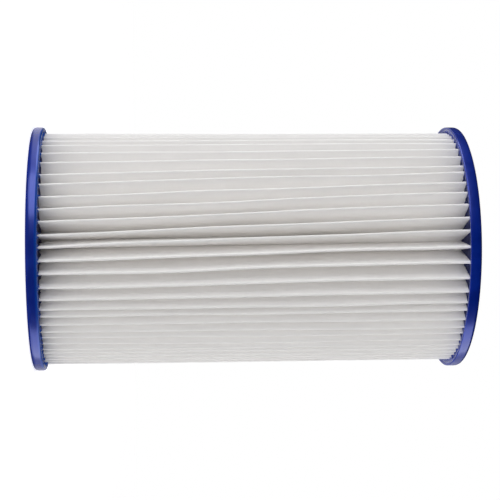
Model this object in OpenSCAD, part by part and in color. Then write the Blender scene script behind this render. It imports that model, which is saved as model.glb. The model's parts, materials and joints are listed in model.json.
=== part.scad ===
// Pleated filter cartridge for a pool or spa pump, standing on its lower end cap.
// The axis is +Z and the origin is the centre of the lower cap's outer face.
// Millimetres throughout.

/* [Cartridge] */
// Overall length, over both end caps
cartridge_h = 254; // [220:2:300]
// Outside diameter of the end caps
cap_d = 145; // [142:0.5:150]
// Diameter of the hole through each end cap
bore_d = 76.2; // [74:0.1:77]

/* [End caps] */
// Thickness of each cap at its rim
cap_h = 6.5; // [6:0.5:9]
// Cap material left outside the ends of the pleats and the core
cap_floor = 3; // [2.6:0.1:4]
// Radius of the rounded outer edge of the rim
rim_round = 2.4; // [1:0.1:3]
// Depth of the ring-shaped recess in the outer face
recess_depth = 1.4; // [0.8:0.1:1.6]
// How far the collar that lines the core's end stands above the cap's inner face
collar_rise = 2; // [1:0.5:3]
// Number of dimples left by the mould's standoff pins
dimple_count = 8; // [4:1:12]

/* [Pleated media] */
// Number of pleats round the pack, the seam fin included
pleat_count = 62; // [48:1:72]
// Diameter over the pleat tips
pleat_d = 138; // [130:0.5:140]
// Diameter under the inner folds
fold_d = 85; // [84.8:0.1:86]
// Thickness of the filter sheet
sheet_t = 0.6; // [0.4:0.1:0.7]
// Thickness of the hot-melt bead between the sheet's two ends
bead_t = 1; // [0.6:0.1:1.2]
// Direction of the seam fin, anticlockwise from +X
seam_angle = 112; // [0:1:360]

/* [Core] */
// Number of identical core sections stacked end to end
section_count = 5; // [3:1:6]
// Upright ribs round each core section
rib_count = 16; // [10:1:20]
// Rows of windows in each core section
window_rows = 3; // [2:1:4]
// Width of an upright rib
rib_w = 4.2; // [3:0.1:6]
// Inside diameter of the core
core_bore_d = 77.8; // [77.2:0.1:78.4]
// Outside diameter of the core
core_d = 84; // [83:0.1:84.4]

/* [Hidden] */
$fn = 96;

cap_blue = [0.05, 0.12, 0.62];
media_white = [0.93, 0.93, 0.92];
bead_amber = [0.90, 0.87, 0.76];
core_white = [0.86, 0.88, 0.90];

eps = 0.01;                               // keeps a cutting tool clear of the face it cuts
cap_r = cap_d / 2;
bore_r = bore_d / 2;
pack_z = cap_floor;                       // pleats and core start here
pack_h = cartridge_h - 2 * cap_floor;     // and are cut to this length
pack_top = cartridge_h - cap_floor;

// End cap profile
bore_round = 1.2;                         // rounded lip of the bore
land_r = 47.5;                            // outside of the inner sealing land
land_slope = 1.2;                         // radial width of the recess walls
outer_land_r = 66;                        // inside of the outer land
shoulder_round = 0.6;                     // rounded inner edge of the rim
lip_groove_r = 43.5;                      // middle of the groove between the two sealing lips
groove_round = 0.7;
collar_h = cap_h + collar_rise;
dimple_d = 4;
dimple_depth = 0.9;
dimple_ring_r = 57;

// Pleats
tip_r = pleat_d / 2;
fold_r = fold_d / 2;
pitch = 360 / pleat_count;
crease_half = 0.35;                       // half the width of a fold on its concave side
crest_half = crease_half + sheet_t;       // and on its convex side
bead_inner_r = 50;                        // the hot-melt bead starts here
bead_outer_r = tip_r - 0.5;

// Core
core_in = core_bore_d / 2;
core_out = core_d / 2;
spigot_h = 3;                             // upper lip of a section, inside the next one's socket
section_pitch = (pack_h - spigot_h) / section_count;
joint_r = (core_in + core_out) / 2;       // where spigot and socket meet
joint_gap = 0.05;
socket_clearance = 0.1;                   // between a spigot's tip and its socket
end_ring_h = 6;                           // plain ring at each end of a section
hoop_h = 2.2;                             // hoop between two rows of windows
hoop_t = 1.9;                             // hoops are thinner than ribs
window_w = 2 * core_in * sin(180 / rib_count) - rib_w;
window_h = (section_pitch - 2 * end_ring_h - (window_rows - 1) * hoop_h) / window_rows;
snap_count = 4;
snap_w = 6;
snap_h = 1.4;
snap_z = 0.9;                             // a tab starts this far up its spigot
snap_root = 0.8;                          // part of a tab that is buried in its spigot
snap_out = 0.6;                           // how far a snap tab stands out of the spigot
snap_gap = 0.15;

function polar(r, a) = [r * cos(a), r * sin(a)];

// A point at radius r, set off sideways by s from the ray at angle a.
function beside(r, a, s) = polar(r, a) + s * [-sin(a), cos(a)];

// An arc of a profile, from angle a0 to a1 about a centre.
function arc(centre, r, a0, a1, steps = 8) =
    [for (i = [0:steps]) centre + polar(r, a0 + (a1 - a0) * i / steps)];

module ring(r_in, r_out, z0, h) {
    translate([0, 0, z0])
        difference() {
            cylinder(h = h, r = r_out);
            translate([0, 0, -1]) cylinder(h = h + 2, r = r_in);
        }
}

// ---------------------------------------------------------------- pleated media

// Angle of crest i. Crest 0 is the seam fin.
function crest_angle(i) = seam_angle + i * pitch;

// The two points of a fold at radius r, with the given half width.
function fold(r, a, half) = [beside(r, a, -half), beside(r, a, half)];

// The convex side of the sheet, from the seam fin once round and back to it.
function outside_path() = concat(
    [beside(tip_r, seam_angle, bead_t / 2 + sheet_t)],
    fold(fold_r + sheet_t, seam_angle + pitch / 2, crease_half),
    [for (i = [1:pleat_count - 1]) each concat(
        fold(tip_r, crest_angle(i), crest_half),
        fold(fold_r + sheet_t, crest_angle(i) + pitch / 2, crease_half))],
    [beside(tip_r, seam_angle, -bead_t / 2 - sheet_t)]
);

// The core side of the sheet, one way round only, so that the caller can reverse it.
function inside_path() = concat(
    [beside(tip_r, seam_angle, bead_t / 2)],
    fold(fold_r, seam_angle + pitch / 2, crest_half),
    [for (i = [1:pleat_count - 1]) each concat(
        fold(tip_r - sheet_t, crest_angle(i), crease_half),
        fold(fold_r, crest_angle(i) + pitch / 2, crest_half))],
    [beside(tip_r, seam_angle, -bead_t / 2)]
);

function reversed(path) = [for (i = [len(path) - 1:-1:0]) path[i]];

// The media strip: one sheet folded round, with its two ends standing side by side at the seam.
module sheet_outline() {
    polygon(concat(outside_path(), reversed(inside_path())));
}

// Half the gap between the two end panels at radius r.
function seam_half_gap(r) =
    let (inner = fold(fold_r, seam_angle + pitch / 2, crest_half)[0],
         ray = polar(1, seam_angle),
         side = [-sin(seam_angle), cos(seam_angle)],
         inner_r = inner * ray,
         inner_s = inner * side)
    bead_t / 2 + (inner_s - bead_t / 2) * (tip_r - r) / (tip_r - inner_r);

module bead_outline() {
    polygon([
        beside(bead_inner_r, seam_angle, -seam_half_gap(bead_inner_r)),
        beside(bead_outer_r, seam_angle, -seam_half_gap(bead_outer_r)),
        beside(bead_outer_r, seam_angle, seam_half_gap(bead_outer_r)),
        beside(bead_inner_r, seam_angle, seam_half_gap(bead_inner_r))
    ]);
}

module pleated_media() {
    color(media_white)
        translate([0, 0, pack_z])
            linear_extrude(height = pack_h) sheet_outline();
}

module side_seam() {
    color(bead_amber)
        translate([0, 0, pack_z])
            linear_extrude(height = pack_h) bead_outline();
}

// ---------------------------------------------------------------- core

// A row of blocks between the ribs, one to each gap, from inside the bore out to radius r_out.
module rib_gaps(r_out, z0, h) {
    for (i = [0:rib_count - 1])
        rotate([0, 0, i * 360 / rib_count])
            translate([core_in - 2, -window_w / 2, z0])
                cube([r_out - core_in + 2, window_w, h]);
}

// Tabs on a spigot, or with a gap the slots that take them.
module snap_tabs(z0, gap) {
    for (i = [0:snap_count - 1])
        rotate([0, 0, (i + 0.5) * 360 / snap_count])
            translate([joint_r - snap_root, -snap_w / 2 - gap, z0 - gap])
                cube([snap_root + snap_out + gap, snap_w + 2 * gap, snap_h + 2 * gap]);
}

// A section stands on z = 0. Its socket is at the bottom and its spigot at the top.
module core_section() {
    difference() {
        union() {
            ring(core_in, core_out, 0, section_pitch);
            ring(core_in, joint_r - joint_gap, section_pitch - 1, spigot_h + 1);
            snap_tabs(section_pitch + snap_z, 0);
        }
        for (row = [0:window_rows - 1])
            rib_gaps(core_out + 2, end_ring_h + row * (window_h + hoop_h), window_h);
        rib_gaps(core_out - hoop_t, end_ring_h, section_pitch - 2 * end_ring_h);
        translate([0, 0, -1]) cylinder(h = spigot_h + socket_clearance + 1, r = joint_r);
        snap_tabs(snap_z, snap_gap);
    }
}

module placed_section(number) {
    color(core_white)
        translate([0, 0, pack_z + (number - 1) * section_pitch]) core_section();
}

// ---------------------------------------------------------------- end caps

// Half the section of a cap whose outer face is at z = 0, with x as the radius.
module cap_profile() {
    rim_in = outer_land_r - land_slope;
    polygon(concat(
        arc([bore_r + bore_round, bore_round], bore_round, 180, 270),
        reversed(arc([lip_groove_r, 0], groove_round, 0, 180)),
        [[land_r, 0], [land_r + land_slope, recess_depth]],
        [[rim_in, recess_depth], [outer_land_r, 0]],
        arc([cap_r - rim_round, rim_round], rim_round, 270, 360),
        arc([cap_r - shoulder_round, cap_h - shoulder_round], shoulder_round, 0, 90, 4),
        [[core_in + eps, cap_h], [core_in + eps, collar_h], [bore_r, collar_h]]
    ));
}

module dimples() {
    for (i = [0:dimple_count - 1])
        rotate([0, 0, (i + 0.5) * 360 / dimple_count])
            translate([dimple_ring_r, 0, recess_depth - 1])
                cylinder(h = dimple_depth + 1, d = dimple_d);
}

// A cap with its outer face at z = 0, before anything is cast into it.
module cap_body() {
    difference() {
        rotate_extrude() cap_profile();
        dimples();
    }
}

// The ends of the sheet and of the bead, for a length of the pack from z0 upwards.
module pack_end(z0) {
    translate([0, 0, z0])
        linear_extrude(height = cap_h) {
            sheet_outline();
            bead_outline();
        }
}

module end_cap_bottom() {
    color(cap_blue)
        difference() {
            cap_body();
            pack_end(pack_z);
            placed_section(1);
        }
}

module end_cap_top() {
    color(cap_blue)
        difference() {
            translate([0, 0, cartridge_h]) mirror([0, 0, 1]) cap_body();
            pack_end(pack_top - cap_h);
            placed_section(section_count);
        }
}

end_cap_bottom();
end_cap_top();
pleated_media();
side_seam();
placed_section(1);  // core_section_1
placed_section(2);  // core_section_2
placed_section(3);  // core_section_3
placed_section(4);  // core_section_4
placed_section(5);  // core_section_5
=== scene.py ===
"""Pleated filter cartridge: the looks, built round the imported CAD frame.

The cartridge stands on its lower cap and +Z is its axis. The main camera lies on its side, so in its
picture the lower cap is on the left and -X is up. All sizes are in metres.
"""
import json
import math

import bmesh
import bpy
import numpy as np
from mathutils import Matrix, Vector


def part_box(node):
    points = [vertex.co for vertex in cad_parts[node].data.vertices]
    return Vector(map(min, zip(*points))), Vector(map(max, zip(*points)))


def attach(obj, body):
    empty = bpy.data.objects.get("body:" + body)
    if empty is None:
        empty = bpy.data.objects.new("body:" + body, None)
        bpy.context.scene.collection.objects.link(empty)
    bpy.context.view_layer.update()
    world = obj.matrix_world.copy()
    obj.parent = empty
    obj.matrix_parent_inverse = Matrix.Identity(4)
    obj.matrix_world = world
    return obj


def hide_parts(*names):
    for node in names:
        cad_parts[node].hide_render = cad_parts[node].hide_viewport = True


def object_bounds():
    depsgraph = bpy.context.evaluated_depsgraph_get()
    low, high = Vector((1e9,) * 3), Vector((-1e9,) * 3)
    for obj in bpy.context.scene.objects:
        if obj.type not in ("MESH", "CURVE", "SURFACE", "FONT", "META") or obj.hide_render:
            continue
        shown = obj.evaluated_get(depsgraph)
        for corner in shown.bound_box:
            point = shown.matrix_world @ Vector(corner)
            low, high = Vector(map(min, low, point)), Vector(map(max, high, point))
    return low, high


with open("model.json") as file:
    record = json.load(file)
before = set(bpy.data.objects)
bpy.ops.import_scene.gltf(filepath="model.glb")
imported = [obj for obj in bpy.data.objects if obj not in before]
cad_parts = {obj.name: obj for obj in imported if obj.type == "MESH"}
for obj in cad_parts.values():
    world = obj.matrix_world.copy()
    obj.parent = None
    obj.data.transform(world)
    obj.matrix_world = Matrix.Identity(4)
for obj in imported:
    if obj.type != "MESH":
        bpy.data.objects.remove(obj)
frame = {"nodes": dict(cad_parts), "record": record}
cad_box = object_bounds()

MM = 0.001
low, high = cad_box
CAP_R = high.x
LENGTH = high.z
MIDDLE = (low + high) / 2
BORE_R = next(m["dims"]["r_mm"] for m in frame["record"]["mounts"] if m["name"] == "bore_bottom") * MM
CORE_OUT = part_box("core_section_1")[1].x
TIP_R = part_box("pleated_media")[1].x
PACK_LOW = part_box("pleated_media")[0].z
PACK_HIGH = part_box("pleated_media")[1].z
RIM_H = 6.5 * MM                  # height of a cap's outer rim
CORE_NODES = [f"core_section_{number}" for number in range(1, 6)]


# ---------------------------------------------------------------- camera

CAMERA_DISTANCE = 0.8325          # from the cartridge's axis
CAMERA_ALONG = -0.0604            # from the middle of the cartridge, towards the lower cap
AIM_ALONG = 0.0018                # the point it looks at, from the middle along the axis
AIM_ACROSS = 0.0014               # and below the axis in the picture
CAMERA_LENS = 99.37               # millimetres, on Blender's 36 mm sensor
CAMERA_ROLL = 0.0063              # radians: the upper cap is a little higher in the picture


def make_camera():
    data = bpy.data.cameras.new("camera")
    data.lens = CAMERA_LENS
    data.sensor_width = 36
    data.clip_start, data.clip_end = 0.05, 20
    camera = bpy.data.objects.new("camera", data)
    bpy.context.scene.collection.objects.link(camera)
    place = Vector((AIM_ACROSS, -CAMERA_DISTANCE, MIDDLE.z + CAMERA_ALONG))
    aim = Vector((AIM_ACROSS, 0, MIDDLE.z + AIM_ALONG))
    backward = (place - aim).normalized()
    up_hint = Vector((-math.cos(CAMERA_ROLL), 0, math.sin(CAMERA_ROLL)))
    right = up_hint.cross(backward).normalized()
    up = backward.cross(right)
    camera.matrix_world = Matrix.Translation(place) @ Matrix((right, up, backward)).transposed().to_4x4()
    bpy.context.scene.camera = camera


make_camera()


# ---------------------------------------------------------------- node materials

class Shader:
    """A node tree being built for a material or a world.

    node() adds a node and sets its inputs, which may be values or other nodes' outputs.
    """

    def __init__(self, owner):
        self.owner = owner
        owner.use_nodes = True
        self.tree = owner.node_tree
        self.tree.nodes.clear()

    def node(self, kind, inputs=None, **settings):
        made = self.tree.nodes.new("ShaderNode" + kind)
        for key, value in settings.items():
            setattr(made, key, value)
        for key, value in (inputs or {}).items():
            if isinstance(value, bpy.types.NodeSocket):
                self.tree.links.new(value, made.inputs[key])
            else:
                made.inputs[key].default_value = value
        return made

    def place(self):
        """Points of the object in its own frame, in metres."""
        return self.node("TexCoord").outputs["Object"]

    def noise(self, scale, detail=4.0, roughness=0.5, vector=None, distortion=0.0):
        inputs = {"Scale": scale, "Detail": detail, "Roughness": roughness, "Distortion": distortion}
        inputs["Vector"] = vector or self.place()
        return self.node("TexNoise", inputs).outputs["Fac"]

    def math(self, operation, a, b):
        return self.node("Math", {0: a, 1: b}, operation=operation).outputs[0]

    def span(self, value, from_low, from_high, to_low=0.0, to_high=1.0):
        """value moved from one range to another and held within it."""
        inputs = {"Value": value, "From Min": from_low, "From Max": from_high}
        inputs.update({"To Min": to_low, "To Max": to_high})
        return self.node("MapRange", inputs).outputs["Result"]

    def mix(self, factor, a, b):
        made = self.node("Mix", {0: factor}, data_type="RGBA")
        for key, value in ((6, a), (7, b)):
            if isinstance(value, bpy.types.NodeSocket):
                self.tree.links.new(value, made.inputs[key])
            else:
                made.inputs[key].default_value = (*value, 1)
        return made.outputs[2]

    def bump(self, height, strength, distance, normal=None):
        inputs = {"Height": height, "Strength": strength, "Distance": distance}
        if normal is not None:
            inputs["Normal"] = normal
        return self.node("Bump", inputs).outputs["Normal"]

    def finish(self, surface, output="OutputMaterial"):
        self.node(output, {"Surface": surface})
        return self.owner


def stretched(shader, scale):
    """The object's points scaled by three numbers, to draw a noise out along an axis."""
    return shader.node("Mapping", {"Vector": shader.place(), "Scale": scale}).outputs["Vector"]


def media_material():
    """Spunbonded polyester: matt, white, fibrous, a little cloudy."""
    s = Shader(bpy.data.materials.new("spunbonded_sheet"))
    clouds = s.noise(160, 3, 0.6)
    fibres_up = s.noise(1, 3, 0.6, stretched(s, (2600, 2600, 500)), 0.6)
    fibres_across = s.noise(1, 3, 0.6, stretched(s, (1500, 1500, 3200)), 0.6)
    fibres = s.math("MAXIMUM", fibres_up, fibres_across)
    tone = s.math("ADD", s.math("MULTIPLY", clouds, 0.6), s.math("MULTIPLY", fibres, 0.4))
    colour = s.mix(s.span(tone, 0.35, 0.68), (0.970, 0.964, 0.957), (0.992, 0.986, 0.979))
    rough = s.span(fibres, 0.3, 0.7, 0.72, 0.92)
    coarse = s.bump(clouds, 0.15, 0.0006)
    fine = s.bump(fibres, 0.4, 0.0001, coarse)
    surface = s.node("BsdfPrincipled", {
        "Base Color": colour, "Roughness": rough, "Normal": fine, "Specular IOR Level": 0.25,
    })
    return s.finish(surface.outputs["BSDF"])


def cap_material():
    """Cast polymer: deep blue, glossy, with faint flow marks and dust. The lower rim's narrow lip is painted
    a lighter blue as a painted glow, as of light coming through the resin there.

    Among the pleats the colour is painted near black as painted shade, and the surface is rougher there.
    """
    s = Shader(bpy.data.materials.new("cast_blue"))
    flow = s.noise(55, 4, 0.55, None, 0.4)
    grain = s.noise(900, 3, 0.6)
    specks = s.noise(2600, 2, 0.5)
    hoops = s.noise(1, 2, 0.5, stretched(s, (6, 6, 900)))
    colour = s.mix(s.span(flow, 0.35, 0.65), (0.0008, 0.014, 0.21), (0.0015, 0.021, 0.28))
    dusty = s.mix(s.span(specks, 0.70, 0.80, 0, 0.25), colour, (0.06, 0.10, 0.45))
    apart = s.node("SeparateXYZ", {"Vector": s.place()}).outputs
    height = apart["Z"]
    flat = s.node("CombineXYZ", {"X": apart["X"], "Y": apart["Y"]})
    radius = s.node("VectorMath", {0: flat.outputs["Vector"]}, operation="LENGTH").outputs["Value"]
    # Painted shade: the resin between the pleats, above the lower cap's face and below the upper cap's, is
    # painted near black.
    among_pleats = s.math("MULTIPLY", s.span(radius, TIP_R - 0.3 * MM, TIP_R - 3 * MM),
                          s.span(radius, CORE_OUT, CORE_OUT + 2 * MM))
    above_floor = s.span(height, RIM_H - 3 * MM, RIM_H - 2 * MM)
    below_roof = s.span(height, LENGTH - RIM_H + 2 * MM, LENGTH - RIM_H + 3 * MM, 1, 0)
    painted_shade_between_pleats = s.math("MULTIPLY", among_pleats, s.math("MULTIPLY", above_floor, below_roof))
    # Painted glow: the lower cap, from just under its rim's top upwards, is painted a lighter blue for light
    # coming through the resin of its lip.
    painted_lip_glow = s.span(height, RIM_H - 1.8 * MM, RIM_H - 0.2 * MM)
    painted_lip_glow = s.math("MULTIPLY", painted_lip_glow, s.span(height, 2 * RIM_H, 3 * RIM_H, 1, 0))
    shade = s.mix(painted_lip_glow, dusty, (0.004, 0.08, 0.48))
    shade = s.mix(painted_shade_between_pleats, shade, (0.0005, 0.003, 0.035))
    rough = s.span(s.math("ADD", flow, s.math("MULTIPLY", grain, 0.5)), 0.5, 1.0, 0.17, 0.26)
    # The resin under the painted shade is also made rougher.
    rough = s.math("ADD", rough, s.math("MULTIPLY", painted_shade_between_pleats, 0.4))
    normal = s.bump(flow, 0.08, 0.0008)
    normal = s.bump(hoops, 0.12, 0.0001, normal)
    normal = s.bump(grain, 0.1, 0.00004, normal)
    surface = s.node("BsdfPrincipled", {
        "Base Color": shade, "Roughness": rough, "Normal": normal, "IOR": 1.75,
        "Specular IOR Level": 0.78, "Specular Tint": (0.31, 0.38, 1, 1),
    })
    return s.finish(surface.outputs["BSDF"])


def core_material():
    """Moulded polypropylene: a cloudy white with a faint sheen from the mould."""
    s = Shader(bpy.data.materials.new("moulded_core"))
    cloud = s.noise(120, 3, 0.5)
    grain = s.noise(1400, 3, 0.55)
    colour = s.mix(s.span(cloud, 0.35, 0.65), (0.74, 0.76, 0.78), (0.82, 0.835, 0.845))
    rough = s.span(grain, 0.3, 0.7, 0.38, 0.55)
    normal = s.bump(grain, 0.2, 0.0001, s.bump(cloud, 0.1, 0.0006))
    surface = s.node("BsdfPrincipled", {
        "Base Color": colour, "Roughness": rough, "Normal": normal, "Specular IOR Level": 0.4,
    })
    return s.finish(surface.outputs["BSDF"])


def bead_material():
    """Hot melt: yellowish and waxy."""
    s = Shader(bpy.data.materials.new("hot_melt"))
    cloud = s.noise(200, 3, 0.5)
    colour = s.mix(s.span(cloud, 0.35, 0.65), (0.70, 0.62, 0.42), (0.82, 0.76, 0.58))
    surface = s.node("BsdfPrincipled", {
        "Base Color": colour, "Roughness": s.span(cloud, 0.3, 0.7, 0.3, 0.5),
        "Normal": s.bump(cloud, 0.3, 0.0004), "Specular IOR Level": 0.5,
    })
    return s.finish(surface.outputs["BSDF"])


def floor_material():
    """Plain pale paper, lit a little from below so that it is white but for the contact shadow."""
    s = Shader(bpy.data.materials.new("pale_paper"))
    grain = s.noise(300, 3, 0.5)
    surface = s.node("BsdfPrincipled", {
        "Base Color": s.mix(grain, (0.78, 0.78, 0.78), (0.82, 0.82, 0.82)),
        "Roughness": 0.9, "Specular IOR Level": 0.1,
        "Emission Color": (1, 1, 1, 1), "Emission Strength": 0.8,
    })
    return s.finish(surface.outputs["BSDF"])


# ---------------------------------------------------------------- meshes

def grid_mesh(name, points, material, close_across=False, close_along=False):
    """A mesh from points[along][across] with quads between them, closed round either way if asked."""
    along, across = points.shape[:2]
    rows = along if close_along else along - 1
    columns = across if close_across else across - 1
    a, b = np.meshgrid(np.arange(rows), np.arange(columns), indexing="ij")
    a2, b2 = (a + 1) % along, (b + 1) % across
    quads = np.stack([a * across + b, a * across + b2, a2 * across + b2, a2 * across + b], axis=-1)
    mesh = bpy.data.meshes.new(name)
    mesh.from_pydata(points.reshape(-1, 3).tolist(), [], quads.reshape(-1, 4).tolist())
    mesh.update()
    mesh.materials.append(material)
    mesh.polygons.foreach_set("use_smooth", [True] * len(mesh.polygons))
    made = bpy.data.objects.new(name, mesh)
    bpy.context.scene.collection.objects.link(made)
    return made


def polar(radius, angle):
    return radius * np.exp(1j * angle)


NOISE_PEAK = 1.4                  # a sum of waves over the root of their number seldom goes past this


def smooth_noise(seed, waves_round, waves_up, angle, height, terms=6):
    """A gentle random field over the pack, mostly from -1 to 1: a sum of waves, periodic in angle."""
    draw = np.random.RandomState(seed)
    total = 0
    for _ in range(terms):
        turns = draw.randint(1, waves_round + 1)
        rise = draw.uniform(-waves_up, waves_up)
        phase = draw.uniform(0, 2 * math.pi)
        total = total + np.cos(turns * angle + 2 * math.pi * rise * height / LENGTH + phase)
    return total / math.sqrt(terms) / NOISE_PEAK


# The pleated sheet

PLEATS = 62
SHEET_T = 0.6 * MM
FOLD_R = 42.5 * MM                # under the inner folds
FOLD_ROUND = 0.36 * MM            # of the sheet's middle surface, at crests and at folds alike
SEAM = math.radians(112)
PITCH = 2 * math.pi / PLEATS
FRONT = math.radians(270)         # the side that faces the main camera
BEAD_T = 1.0 * MM
EMBED = 1.0 * MM                  # of the sheet goes on into the CAD slot

# Where the pleats were bunched or spread when the pack was closed into a ring:
# degrees from the front, gain (below 0 squeezes), and degrees of half width.
BUNCHES = ((-51, 0.16, 12), (26, -0.23, 9), (56, -0.28, 34))
JITTER = math.radians(0.7)
JITTER_SEED = 34243
BASE_SHARE = 0.6                  # how much of the bunching the inner folds share
TWIST = math.radians(7.8)         # the crests near the front run askew by this much in all
TWIST_MIDDLE = -21                # degrees from the front
TWIST_WIDTH = 36

CREST_WANDER = math.radians(0.45)  # how far a crest strays slowly along its length
CREST_WAVER = math.radians(0.22)   # and how far it wavers quickly
TIP_UNEVEN = 0.35 * MM            # the lowest crest stands this far below the highest
PANEL_BOW = 0.35 * MM             # the most that a panel bulges sideways

CREST_STEPS = 7
FOLD_STEPS = 5
LEG_STEPS = 5
SHEET_RINGS = 72
BEAD_RINGS = 60
RING_CROWDING = 0.24              # of the rings near the caps, where 0 would space them evenly


def from_front(angle):
    """The angle from the front, in degrees from -180 to 180."""
    return np.degrees((angle - FRONT + math.pi) % (2 * math.pi) - math.pi)


def bunching(angle):
    """How far the bunches move a crest round, in radians."""
    away = from_front(angle)
    total = 0
    for middle, gain, width in BUNCHES:
        offset = (away - middle + 180) % 360 - 180
        total = total + gain * offset * np.exp(-offset ** 2 / (2 * width ** 2))
    return np.radians(total)


def twist(angle, z):
    """How far the crest at that angle runs askew at height z, in radians."""
    share = np.exp(-((from_front(angle) - TWIST_MIDDLE) / TWIST_WIDTH) ** 2)
    return -TWIST * share * (z - MIDDLE.z) / (PACK_HIGH - PACK_LOW)


def crest_angles(z):
    even = SEAM + PITCH * np.arange(PLEATS)
    jitter = np.random.RandomState(JITTER_SEED).uniform(-1, 1, PLEATS) * JITTER
    jitter[0] = 0
    wander = CREST_WANDER * smooth_noise(11, 14, 1.6, even, z)
    waver = CREST_WAVER * smooth_noise(12, 40, 3.0, even, z)
    return even + bunching(even) + jitter + twist(even, z) + wander + waver


def fold_angles(z):
    even = SEAM + PITCH * (np.arange(PLEATS) + 0.5)
    return even + BASE_SHARE * (bunching(even) + twist(even, z))


def leg(start, end, bow):
    """Points between the ends of one panel, which bulges sideways by bow in the middle."""
    share = np.arange(1, LEG_STEPS + 1) / (LEG_STEPS + 1)
    direction = (end - start) / abs(end - start)
    return start + (end - start) * share + 1j * direction * bow * np.sin(math.pi * share)


def sheet_path(z):
    """The sheet's middle surface at height z: complex points from one end of the strip to the other."""
    crest_a, fold_a = crest_angles(z), fold_angles(z)
    tip_r = TIP_R - SHEET_T / 2 - TIP_UNEVEN * (1 + smooth_noise(13, 30, 1.2, crest_a, z)) / 2
    crest = polar(tip_r - FOLD_ROUND, crest_a)
    fold = polar(FOLD_R + SHEET_T / 2 + FOLD_ROUND, fold_a)
    bows = PANEL_BOW * smooth_noise(14, 50, 1.5, crest_a, z)
    bows_back = PANEL_BOW * smooth_noise(15, 50, 1.5, crest_a, z)
    over = np.linspace(-math.pi / 2, math.pi / 2, CREST_STEPS)
    under = np.linspace(-math.pi / 2, math.pi / 2, FOLD_STEPS)
    crest_arcs, fold_arcs = [], []
    for i in range(PLEATS):
        up = crest[i] - (fold[i - 1] + fold[i]) / 2
        up = up / abs(up)
        crest_arcs.append(crest[i] + FOLD_ROUND * up * np.exp(1j * over))
        down = fold[i] - (crest[i] + crest[(i + 1) % PLEATS]) / 2
        down = down / abs(down)
        fold_arcs.append(fold[i] + FOLD_ROUND * down * np.exp(-1j * under))
    seam_out = polar(1, crest_a[0])
    half_gap = (BEAD_T + SHEET_T) / 2
    seam_tip = seam_out * (TIP_R - SHEET_T / 2)
    path = [[seam_tip + 1j * seam_out * half_gap]]
    for i in range(PLEATS):
        next_start = crest_arcs[i + 1][0] if i + 1 < PLEATS else seam_tip - 1j * seam_out * half_gap
        path.append(leg(path[-1][-1], fold_arcs[i][0], bows[i]))
        path.append(fold_arcs[i])
        path.append(leg(fold_arcs[i][-1], next_start, bows_back[i]))
        path.append(crest_arcs[i + 1] if i + 1 < PLEATS else [next_start])
    return np.concatenate(path)


def pack_heights(count):
    """Heights up the pack, closer together near the caps."""
    share = np.linspace(0, 1, count)
    eased = share - RING_CROWDING * np.sin(2 * math.pi * share) / (2 * math.pi)
    return PACK_LOW + EMBED + (PACK_HIGH - PACK_LOW - 2 * EMBED) * eased


def make_media(material):
    """The sheet: its outline at each height, from one end of the strip to the other and back."""
    loops = []
    flat_width = 0
    for z in pack_heights(SHEET_RINGS):
        path = sheet_path(z)
        along = np.gradient(path)
        sideways = 1j * along / abs(along)
        flat_width = max(flat_width, abs(np.diff(path)).sum())
        loop = np.concatenate([path - sideways * SHEET_T / 2, (path + sideways * SHEET_T / 2)[::-1]])
        loops.append(np.stack([loop.real, loop.imag, np.full(len(loop), z)], axis=-1))
    points = np.array(loops)
    made = grid_mesh("pleated_sheet", points, material, close_across=True)
    close_strip_ends(made, points)
    turn_outward(made)
    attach(made, "root")
    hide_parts("pleated_media")


def close_strip_ends(made, points):
    """Quads over the strip's two cut ends, which stand in the caps."""
    rings, size = points.shape[:2]
    shape = bmesh.new()
    shape.from_mesh(made.data)
    shape.verts.ensure_lookup_table()
    for base in (0, (rings - 1) * size):
        for k in range(size // 2 - 1):
            corners = (base + k, base + k + 1, base + size - 2 - k, base + size - 1 - k)
            shape.faces.new([shape.verts[c] for c in corners]).smooth = True
    shape.to_mesh(made.data)
    shape.free()


def turn_outward(made):
    """Make every face of a closed mesh face outward."""
    shape = bmesh.new()
    shape.from_mesh(made.data)
    bmesh.ops.recalc_face_normals(shape, faces=shape.faces)
    shape.to_mesh(made.data)
    shape.free()


# The end caps

COLLAR_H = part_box("end_cap_bottom")[1].z
CAP_SPOKES = PLEATS * 14
ROUND_POINTS = 6                  # along each rounded corner
LONGEST_STEP = 1.2                # in mm, between points of the outline
LIP_WIDTH = 1.8                   # in mm, of the rim's flat edge before the resin's own surface
SINK_REACH = 0.7 * MM             # inwards from the lip over which the resin sinks to its level
CLIMB_REACH = 0.55 * MM           # from a panel over which the resin climbs it


def fillet(points):
    """A profile through corners (radius, height, rounding) with each corner rounded off."""
    out = []
    for k, (x, y, rounding) in enumerate(points):
        here = np.array([x, y])
        if rounding == 0 or k in (0, len(points) - 1):
            out.append(here)
            continue
        before = np.array(points[k - 1][:2]) - here
        after = np.array(points[k + 1][:2]) - here
        reach_before, reach_after = np.linalg.norm(before), np.linalg.norm(after)
        before, after = before / reach_before, after / reach_after
        half = math.acos(np.clip(before @ after, -1, 1)) / 2
        room_before = reach_before * (0.49 if points[k - 1][2] else 0.98)
        room_after = reach_after * (0.49 if points[k + 1][2] else 0.98)
        cut = min(rounding / math.tan(half), room_before, room_after)
        start, end = here + before * cut, here + after * cut
        for t in np.linspace(0, 1, ROUND_POINTS):
            out.append((1 - t) ** 2 * start + 2 * t * (1 - t) * here + t ** 2 * end)
    return out


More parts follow.
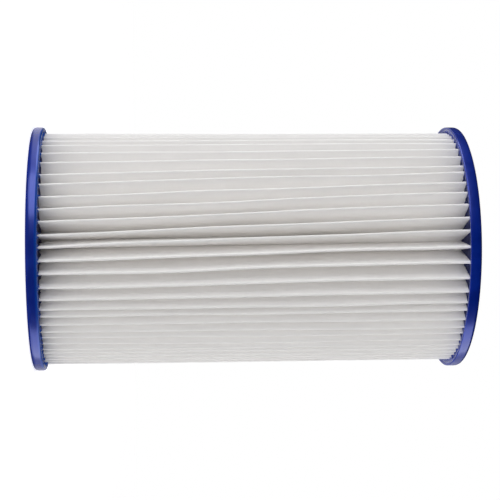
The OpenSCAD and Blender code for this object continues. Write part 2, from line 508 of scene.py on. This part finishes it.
def cap_outline(lip_round):
    """The outside of a cap from its collar's top, down the bore, over the outer face and up the rim.

    lip_round is the rounding of the rim's edge on the pleats' side, in mm.
    """
    bore, rim = BORE_R / MM, CAP_R / MM
    collar_top, rim_top = COLLAR_H / MM, RIM_H / MM
    collar = [(bore + 0.8, collar_top, 0), (bore, collar_top, 0.3), (bore, 0, 1.2)]
    groove = [(42.8, 0, 0.2), (43.1, 0.55, 0.35), (43.9, 0.55, 0.35), (44.2, 0, 0.2)]
    recess = [(47.5, 0, 0.5), (48.7, 1.4, 0.7), (64.8, 1.4, 0.7), (66.0, 0, 0.5)]
    edge = [(rim, 0, 2.4), (rim, rim_top, lip_round), (rim - LIP_WIDTH, rim_top, 0)]
    outline = fillet(collar + groove + recess + edge)
    dense = [outline[0]]
    for a, b in zip(outline, outline[1:]):
        steps = max(1, int(np.linalg.norm(b - a) / LONGEST_STEP))
        dense += [a + (b - a) * k / steps for k in range(1, steps + 1)]
    return np.array(dense) * MM


def leg_angles(radius, z):
    """Angles at which the sheet's panels cross a circle of that radius."""
    crest_a, fold_a = crest_angles(z), fold_angles(z)
    next_crest = np.roll(crest_a, -1)
    next_crest[-1] += 2 * math.pi
    share = np.clip((radius - FOLD_R) / (TIP_R - FOLD_R), 0, 1)
    rise = fold_a + (next_crest - fold_a) * share
    fall = crest_a + (fold_a - crest_a) * (1 - share)
    shift = (FOLD_ROUND + SHEET_T / 2) / radius * (2 * share - 1)
    return np.concatenate([fall + shift, rise - shift])


def resin_height(radius, angle, z_face, climb, seed):
    """How far the resin stands above its level: it climbs the sheet, and is lumpy where it was poured."""
    legs = leg_angles(radius, z_face)
    gap = np.abs((angle[:, None] - legs[None, :] + math.pi) % (2 * math.pi) - math.pi) * radius
    nearest = gap.min(axis=1)
    climbing = np.exp(-nearest / CLIMB_REACH)
    ragged = 1 + 0.8 * smooth_noise(seed, 160, 0, angle, 0, 10)
    lumps = smooth_noise(seed + 1, 90, 0, angle + radius * 40, 0, 8)
    beyond_tips = np.clip((TIP_R + 0.6 * MM - radius) / (0.8 * MM), 0, 1)
    rough_pour = 0.10 + 0.22 * (1 - beyond_tips)
    return climb * climbing * ragged * beyond_tips + rough_pour * lumps * MM


def ring(radius, angle, z):
    """Points round the axis, at one radius."""
    return np.stack([radius * np.cos(angle), radius * np.sin(angle), z * np.ones_like(angle)], axis=-1)


def make_cap(name, node, upside_down, lip_round, level_drop, climb, seed, material):
    """One cap: a lathed outside, an inner face where the resin climbs the pleats, and dimples pressed in.

    level_drop is how far the resin between the pleats lies below the rim, and climb is how high it stands
    on the sheet.
    """
    z_face = LENGTH - RIM_H if upside_down else RIM_H
    outline = cap_outline(lip_round)
    lip_r = outline[-1][0]
    angle = np.linspace(0, 2 * math.pi, CAP_SPOKES, endpoint=False)
    rings = [ring(r, angle, z) for r, z in outline]
    inner_radii = np.concatenate([np.linspace(lip_r - 0.25 * MM, TIP_R - 1.5 * MM, 11),
                                  np.linspace(TIP_R - 2.2 * MM, CORE_OUT + 0.2 * MM, 20)])
    for r in inner_radii:
        from_lip = (lip_r - r) / SINK_REACH
        level = RIM_H - level_drop * (1 - math.exp(-from_lip))
        rings.append(ring(r, angle, level + min(1, from_lip) * resin_height(r, angle, z_face, climb, seed)))
    rings = np.array(rings)
    press_dimples(rings)
    if upside_down:
        rings[..., 2] = LENGTH - rings[..., 2]
        rings = rings[::-1]
    made = grid_mesh(name, rings, material, close_across=True, close_along=True)
    turn_outward(made)
    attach(made, "root")
    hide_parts(node)


DIMPLES = 8
DIMPLE_RING_R = 57 * MM
DIMPLE_R = 2 * MM
DIMPLE_DEPTH = 0.9 * MM
DIMPLE_SLOPE = 0.5 * MM           # the width of a dimple's sloping side


def press_dimples(rings):
    """Shallow round marks in the recess, from the mould's standoff pins."""
    x, y, z = rings[..., 0], rings[..., 1], rings[..., 2]
    flat_face = z < 2 * MM
    for k in range(DIMPLES):
        a = 2 * math.pi * (k + 0.5) / DIMPLES
        away = np.hypot(x - DIMPLE_RING_R * math.cos(a), y - DIMPLE_RING_R * math.sin(a))
        depth = np.clip((DIMPLE_R - away) / DIMPLE_SLOPE, 0, 1)
        z += np.where(flat_face, DIMPLE_DEPTH * depth * depth * (3 - 2 * depth), 0)


# The seam's bead

BEAD_IN, BEAD_OUT = 50 * MM, TIP_R - 0.5 * MM
BEAD_WOBBLE = 0.12 * MM
HALF_OUT = BEAD_T / 2
HALF_IN = HALF_OUT + 0.45 * MM    # it fills the wider gap between the panels further in


def make_bead(material):
    """A wedge of hot melt between the sheet's two end panels, with uneven edges."""
    loops = []
    halves = np.array([HALF_IN * 0.5, HALF_IN, (HALF_IN + HALF_OUT) / 2, HALF_OUT, HALF_OUT * 0.4])
    for z in pack_heights(BEAD_RINGS):
        a = crest_angles(z)[0]
        out = polar(1, a)
        wobble = BEAD_WOBBLE * smooth_noise(31, 5, 9, a, z)
        radii = np.array([BEAD_IN + wobble, BEAD_IN + 1.0 * MM, (BEAD_IN + BEAD_OUT) / 2,
                          BEAD_OUT - 0.4 * MM, BEAD_OUT + wobble])
        loop = np.concatenate([out * (radii + 1j * halves), (out * (radii - 1j * halves))[::-1]])
        loops.append(np.stack([loop.real, loop.imag, np.full(len(loop), z)], axis=-1))
    made = grid_mesh("seam_bead", np.array(loops), material, close_across=True)
    turn_outward(made)
    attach(made, "root")
    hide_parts("side_seam")


# The core

def dress_core(material):
    """The CAD sections stay as they are, with a finer material and their sharp edges rounded."""
    for name in CORE_NODES:
        section = frame["nodes"][name]
        section.data.materials.clear()
        section.data.materials.append(material)
        bevel = section.modifiers.new("soft_edges", "BEVEL")
        bevel.width = 0.25 * MM
        bevel.segments = 2
        bevel.limit_method = "ANGLE"
        bevel.angle_limit = math.radians(40)


# ---------------------------------------------------------------- stage

def make_floor(material):
    half = 6                      # metres, well past the picture
    corners = [(-half, -half, 0), (half, -half, 0), (half, half, 0), (-half, half, 0)]
    mesh = bpy.data.meshes.new("floor")
    mesh.from_pydata(corners, [], [(0, 1, 2, 3)])
    mesh.materials.append(material)
    made = bpy.data.objects.new("floor", mesh)
    made.visible_glossy = False
    bpy.context.scene.collection.objects.link(made)


def area_light(name, place, size, power, aim):
    """A rectangle of light. Beyond +X or -X, size is its width along Y and its height along Z."""
    data = bpy.data.lights.new(name, "AREA")
    data.shape = "RECTANGLE"
    data.size, data.size_y = size
    data.energy = power
    made = bpy.data.objects.new(name, data)
    made.location = place
    made.rotation_mode = "QUATERNION"
    made.rotation_quaternion = (Vector(place) - Vector(aim)).to_track_quat("Z", "Y")
    bpy.context.scene.collection.objects.link(made)
    return made


DARK_SIDE = (0.42, -0.9, 0.1)       # the room is dim round this direction, beside the main camera
BRIGHT_TOP = (-0.97, -0.22, 0)      # and brighter in reflections round this one, beyond the upper soft box


def make_world():
    """White to the camera. What lights the cartridge and what glossy things reflect are mixed apart.

    Both are dim beside the main camera. Reflections are also dark beyond both ends of the cartridge.
    """
    s = Shader(bpy.data.worlds.new("studio"))
    direction = s.node("TexCoord").outputs["Generated"]
    path = s.node("LightPath").outputs
    apart = s.node("SeparateXYZ", {"Vector": direction}).outputs
    facing = s.node("VectorMath", {0: direction, 1: DARK_SIDE}, operation="DOT_PRODUCT").outputs["Value"]
    topward = s.node("VectorMath", {0: direction, 1: BRIGHT_TOP}, operation="DOT_PRODUCT").outputs["Value"]
    floor_side = s.span(apart["X"], 0, 0.6, 1.0, 0.5)

    soft = s.math("MULTIPLY", s.span(facing, 0.10, 0.80, 0.84, 0.0), s.span(apart["Z"], -0.2, 0.7, 1.0, 0.4))

    below = s.math("MULTIPLY", s.math("MAXIMUM", apart["X"], 0), 0.5)
    dark_above = s.span(s.math("SUBTRACT", apart["Z"], below), 0.0, 0.16, 1.0, 0.04)
    dark_below = s.span(apart["Z"], -0.3, -0.12, 0.1, 1.0)
    gleam = s.math("MULTIPLY", s.span(facing, 0.55, 0.82, 1.0, 0.02), s.span(topward, 0.70, 0.90, 1.0, 1.4))
    shine = s.math("MULTIPLY", gleam, s.math("MULTIPLY", dark_above, dark_below))

    strength = s.math("MULTIPLY", floor_side, s.span(path["Is Glossy Ray"], 0, 1, soft, shine))
    light = s.node("Background", {"Color": (1, 0.982, 1, 1), "Strength": strength}).outputs[0]
    backdrop = s.node("Background", {"Color": (1, 1, 1, 1), "Strength": 1.0}).outputs[0]
    shown = s.node("MixShader", {0: path["Is Camera Ray"], 1: light, 2: backdrop})
    bpy.context.scene.world = s.finish(shown.outputs[0], "OutputWorld")


def make_lights():
    """Soft boxes beyond each long side of the picture, and one for a gleam on the lower cap's inner edge.

    Light goes on bouncing deep in the white folds.
    """
    area_light("upper_box", (-0.75, -0.78, -0.14), (1.05, 0.88), 6.6, (0, -0.78, -0.14))
    area_light("lower_box", (0.75, 0.12, 0.1), (0.58, 1.1), 3.5, (0, 0.12, 0.1))
    gleam = area_light("gleam_box", (-0.42, 0.02, 0.15), (0.3, 0.24), 0.7, (0, 0.02, 0.15))
    gleam.visible_diffuse = False
    bpy.context.scene.view_settings.view_transform = "Standard"
    bpy.context.scene.cycles.diffuse_bounces = 24
    bpy.context.scene.cycles.max_bounces = 28


# ---------------------------------------------------------------- build

cap_blue = cap_material()
make_media(media_material())
make_cap("cap_lower", "end_cap_bottom", False, 1.5, 0.2 * MM, 1.1 * MM, 41, cap_blue)
make_cap("cap_upper", "end_cap_top", True, 0.6, 1.0 * MM, 0.4 * MM, 51, cap_blue)
make_bead(bead_material())
dress_core(core_material())
make_floor(floor_material())
make_world()
make_lights()
